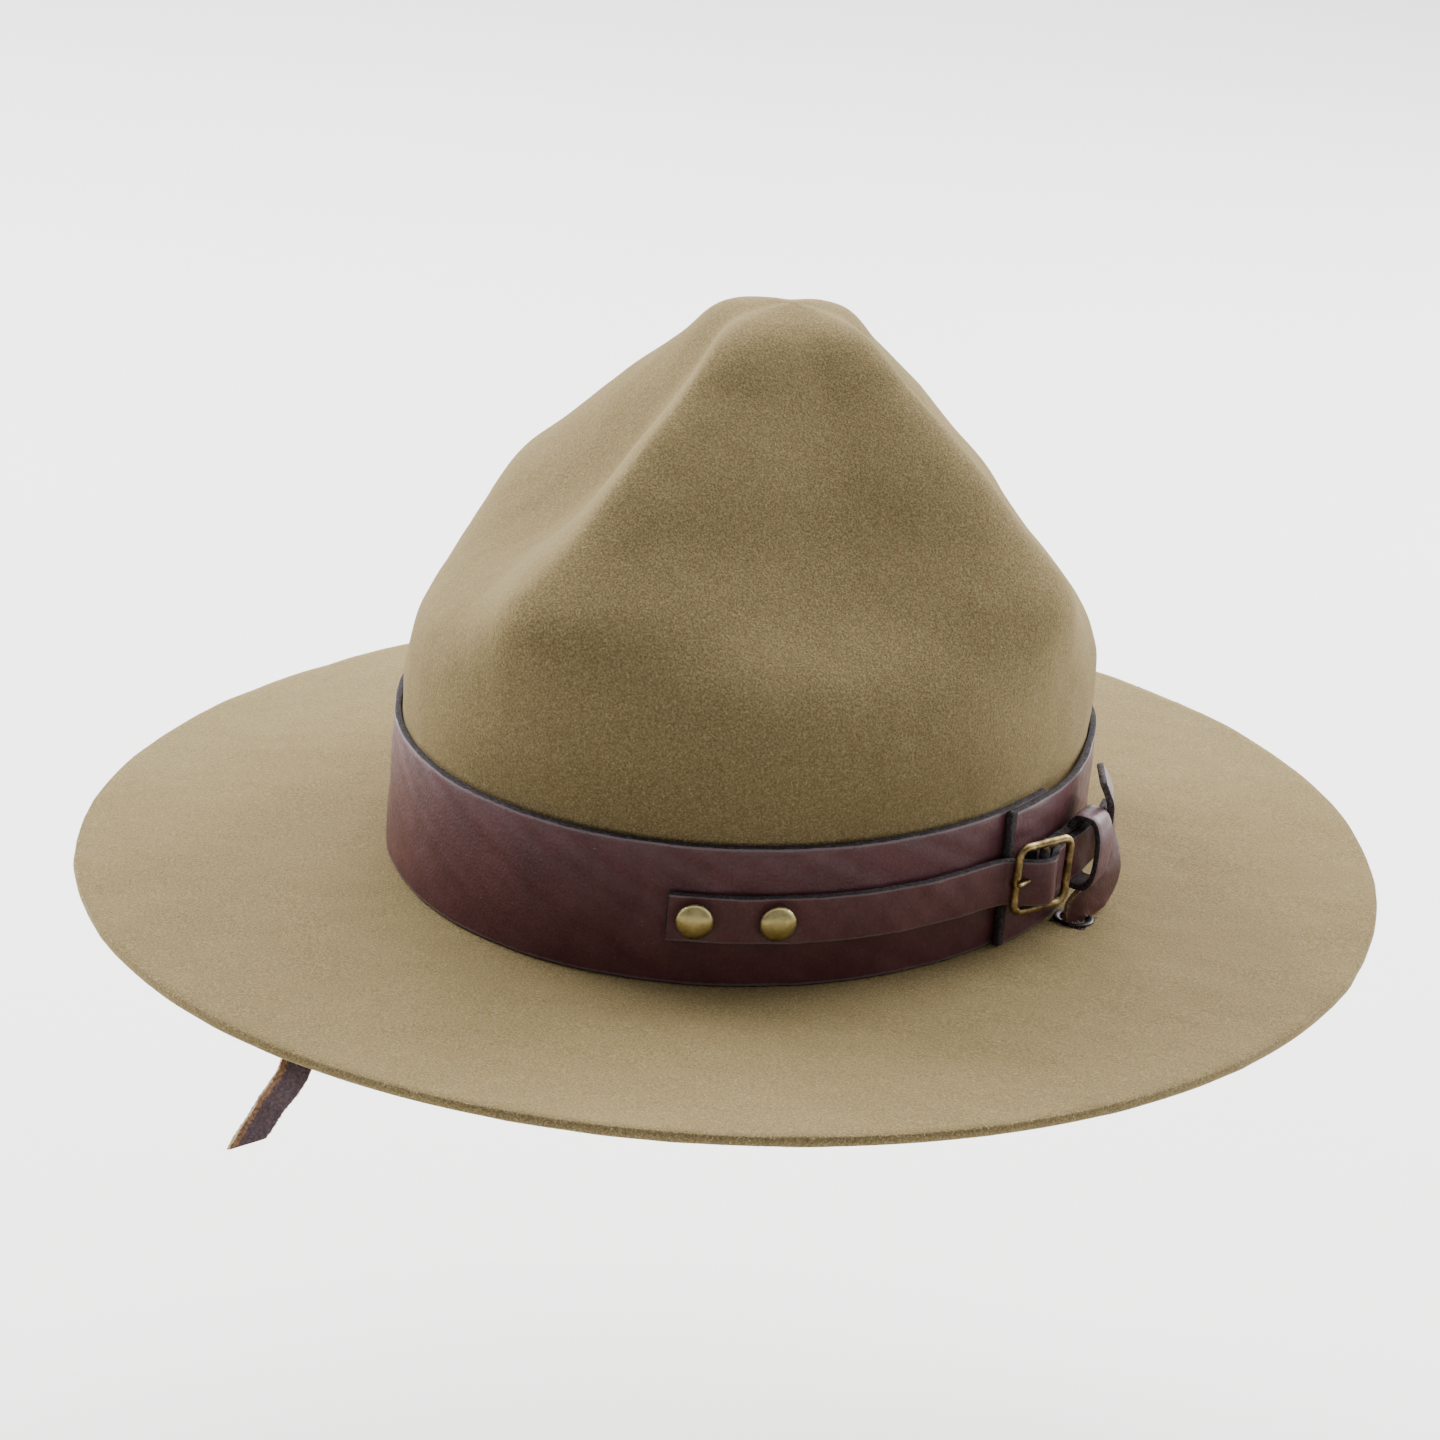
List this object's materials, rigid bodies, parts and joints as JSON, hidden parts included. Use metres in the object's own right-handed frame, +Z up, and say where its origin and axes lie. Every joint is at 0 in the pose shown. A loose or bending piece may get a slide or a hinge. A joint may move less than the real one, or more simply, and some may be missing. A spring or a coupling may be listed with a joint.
{
  "type": "campaign hat",
  "caption": "Stiff felt hat with a peaked, pinched crown on a wide flat brim, a broad leather band with a buckled strap, and a leather head strap through an eyelet.",
  "frame": {"origin": "middle of the head opening, level with the brim's underside", "axes": "+Z up to the peak, -Y the hat's front, +X the wearer's left, where the buckle is"},
  "size_m": [0.3419, 0.3707, 0.2158],
  "materials": {
    "felt": "matte",
    "leather": "satin",
    "brass": "satin",
    "dark_metal": "gloss"
  },
  "bodies": {
    "root": {"felt_body": "felt", "hat_band": "leather", "band_strap": "leather", "rivet_front": "brass", "rivet_rear": "brass", "buckle_frame": "brass", "buckle_prong": "brass", "buckle_tab": "leather", "strap_loop": "leather", "head_strap": "leather", "eyelet": "dark_metal"}
  },
  "joints": []
}
